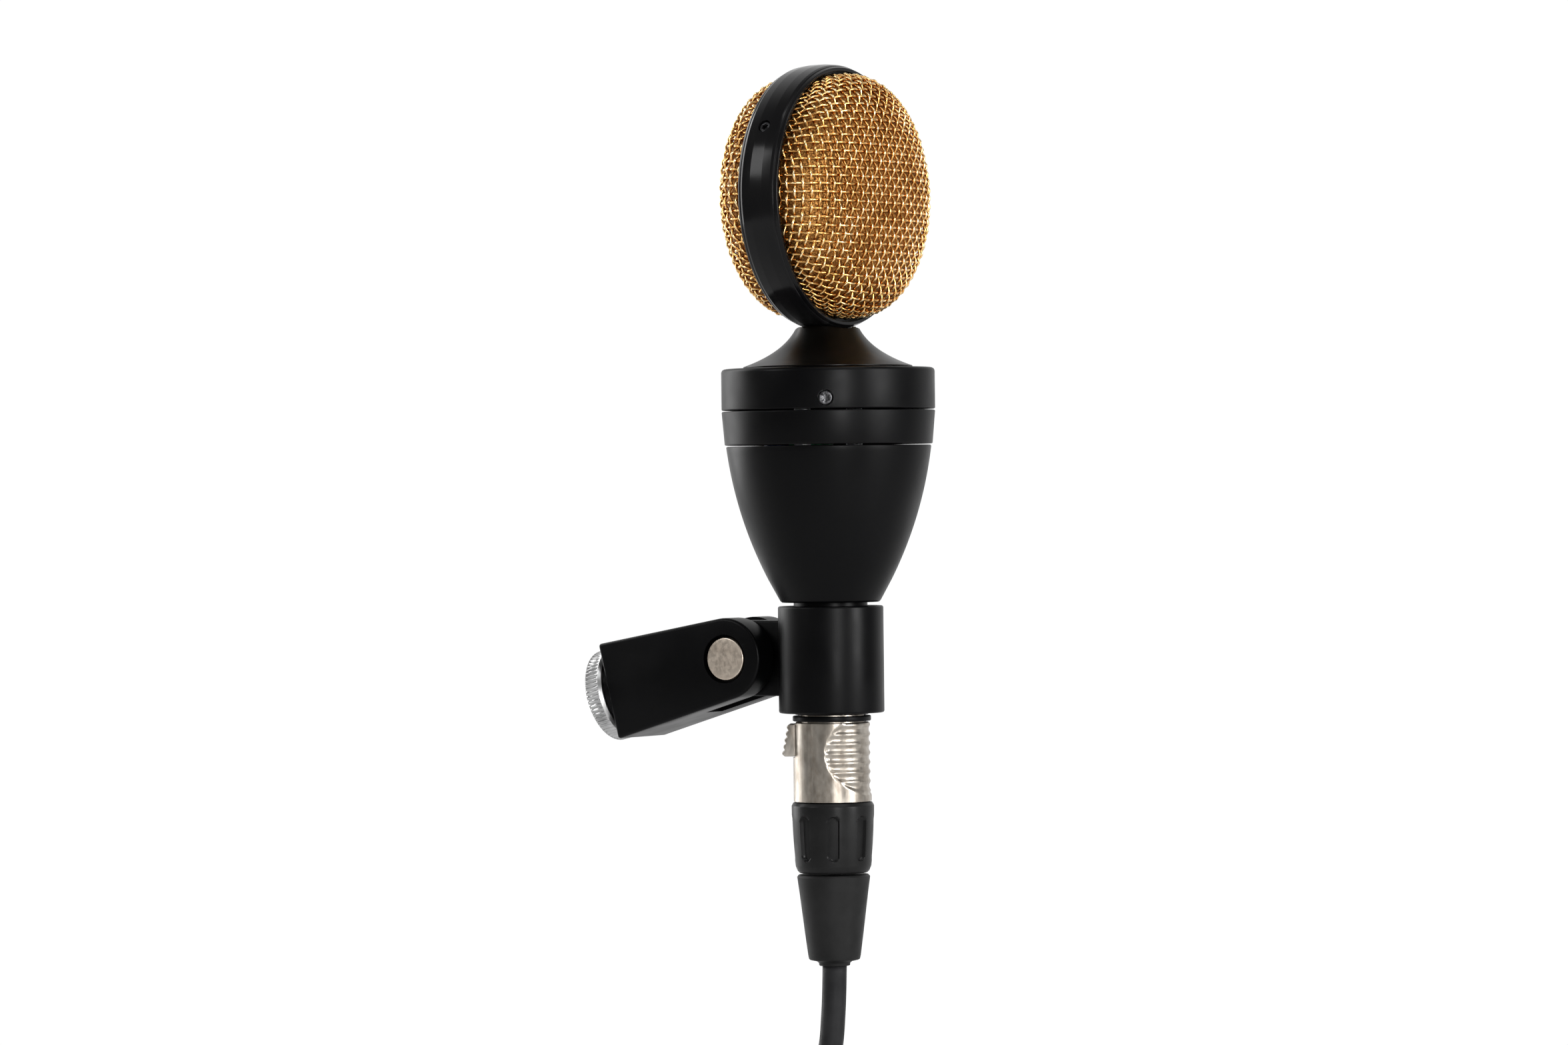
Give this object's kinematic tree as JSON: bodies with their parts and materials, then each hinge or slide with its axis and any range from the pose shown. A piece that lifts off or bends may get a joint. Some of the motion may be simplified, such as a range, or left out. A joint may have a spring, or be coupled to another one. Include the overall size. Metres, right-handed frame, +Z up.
{
  "type": "condenser microphone",
  "caption": "Side-address condenser microphone: round wire-mesh head on a flared bell body, tilting stand mount, and a plugged-in lead that hangs below in a tied hank.",
  "frame": {"origin": "centre of the thread adapter's end face, where the stand's stud enters", "axes": "+Z up along the microphone's own axis at rest, -Y out of the front mesh, +Y back towards the stand, +X along the tilt axis"},
  "size_m": [0.0805, 0.093, 0.4394],
  "materials": {
    "gloss_black": "gloss",
    "satin_black": "satin",
    "screw_steel": "blackened",
    "grille_wire": "polished wire",
    "fine_mesh": "fine woven",
    "capsule_brass": "machined",
    "diaphragm_film": "sputtered film",
    "insulator": "moulded",
    "chassis_steel": "satin",
    "circuit_board": "lacquered",
    "capacitor_can": "sleeved",
    "contact_brass": "polished",
    "nickel": "nickel plated",
    "bright_chrome": "bright",
    "black_plastic": "matte",
    "black_rubber": "matte",
    "cable_jacket": "matte",
    "hook_and_loop": "napped",
    "fibre": "pressed fibre"
  },
  "bodies": {
    "mount": {"fork": "satin_black", "thread_adapter": "bright_chrome", "pivot_bolt": "nickel", "friction_washer_left": "fibre", "friction_washer_right": "fibre"},
    "lock_ring": {"lock_ring": "bright_chrome"},
    "knob": {"pivot_knob": "black_plastic"},
    "microphone": {"head_ring": "gloss_black", "ring_screw_left": "screw_steel", "ring_screw_right": "screw_steel", "front_grille": "grille_wire", "rear_grille": "grille_wire", "front_inner_mesh": "fine_mesh", "rear_inner_mesh": "fine_mesh", "capsule_core": "capsule_brass", "front_diaphragm": "diaphragm_film", "rear_diaphragm": "diaphragm_film", "capsule_saddle": "insulator", "capsule_post": "chassis_steel", "neck": "gloss_black", "top_cap": "satin_black", "mid_ring": "satin_black", "body_shell": "satin_black", "chassis_plate": "chassis_steel", "chassis_rod_left": "chassis_steel", "chassis_rod_right": "chassis_steel", "circuit_board": "circuit_board", "output_transformer": "chassis_steel", "coupling_capacitor": "capacitor_can", "filter_capacitor": "capacitor_can", "cap_screw_front_left": "screw_steel", "cap_screw_front_right": "screw_steel", "cap_screw_back": "screw_steel", "stem_tube": "satin_black", "mount_collar": "satin_black", "socket_rim": "satin_black", "output_insert": "insulator", "output_pin_1": "contact_brass", "output_pin_2": "contact_brass", "output_pin_3": "contact_brass"},
    "plug": {"plug_shell": "nickel", "plug_insert": "insulator", "plug_boot": "black_plastic", "strain_relief": "black_rubber", "cable_stub": "cable_jacket"},
    "latch": {"plug_latch": "nickel"},
    "cord": {"cable_lead": "cable_jacket", "cable_hank": "cable_jacket", "cable_tail": "cable_jacket", "hank_tie": "hook_and_loop", "end_plug_relief": "black_rubber", "end_plug_boot": "black_plastic", "end_plug_shell": "nickel", "end_plug_insert": "insulator", "end_plug_pin_1": "contact_brass", "end_plug_pin_2": "contact_brass", "end_plug_pin_3": "contact_brass"}
  },
  "joints": [
    {"name": "tilt", "type": "hinge", "parent": "mount", "child": "microphone", "pos_m": [0, -0.04045, 0.00971], "axis": [1, 0, 0], "range_deg": [-85, 75]},
    {"name": "knob_turn", "type": "hinge", "parent": "mount", "child": "knob", "pos_m": [0, -0.04045, 0.00971], "axis": [1, 0, 0], "range_deg": [0, 360]},
    {"name": "lock_ring_turn", "type": "hinge", "parent": "mount", "child": "lock_ring", "pos_m": [0, 0, 0], "axis": [0, 0.9724, -0.2334], "range_deg": [0, 360]},
    {"name": "plug_pull", "type": "slide", "parent": "microphone", "child": "plug", "axis": [0, 0, -1], "range_m": [0, 0.018]},
    {"name": "latch_press", "type": "slide", "parent": "plug", "child": "latch", "axis": [0.5, -0.866, 0], "range_m": [0, 0.0008], "stiffness_N_per_m": 1500, "springref_m": -0.0005},
    {"name": "cord_hang", "type": "hinge", "parent": "plug", "child": "cord", "pos_m": [0, -0.06475, -0.08029], "axis": [1, 0, 0], "range_deg": [-75, 85]}
  ],
  "couplings": [
    {"joint": "cord_hang", "follows": "tilt", "ratio": -1}
  ]
}
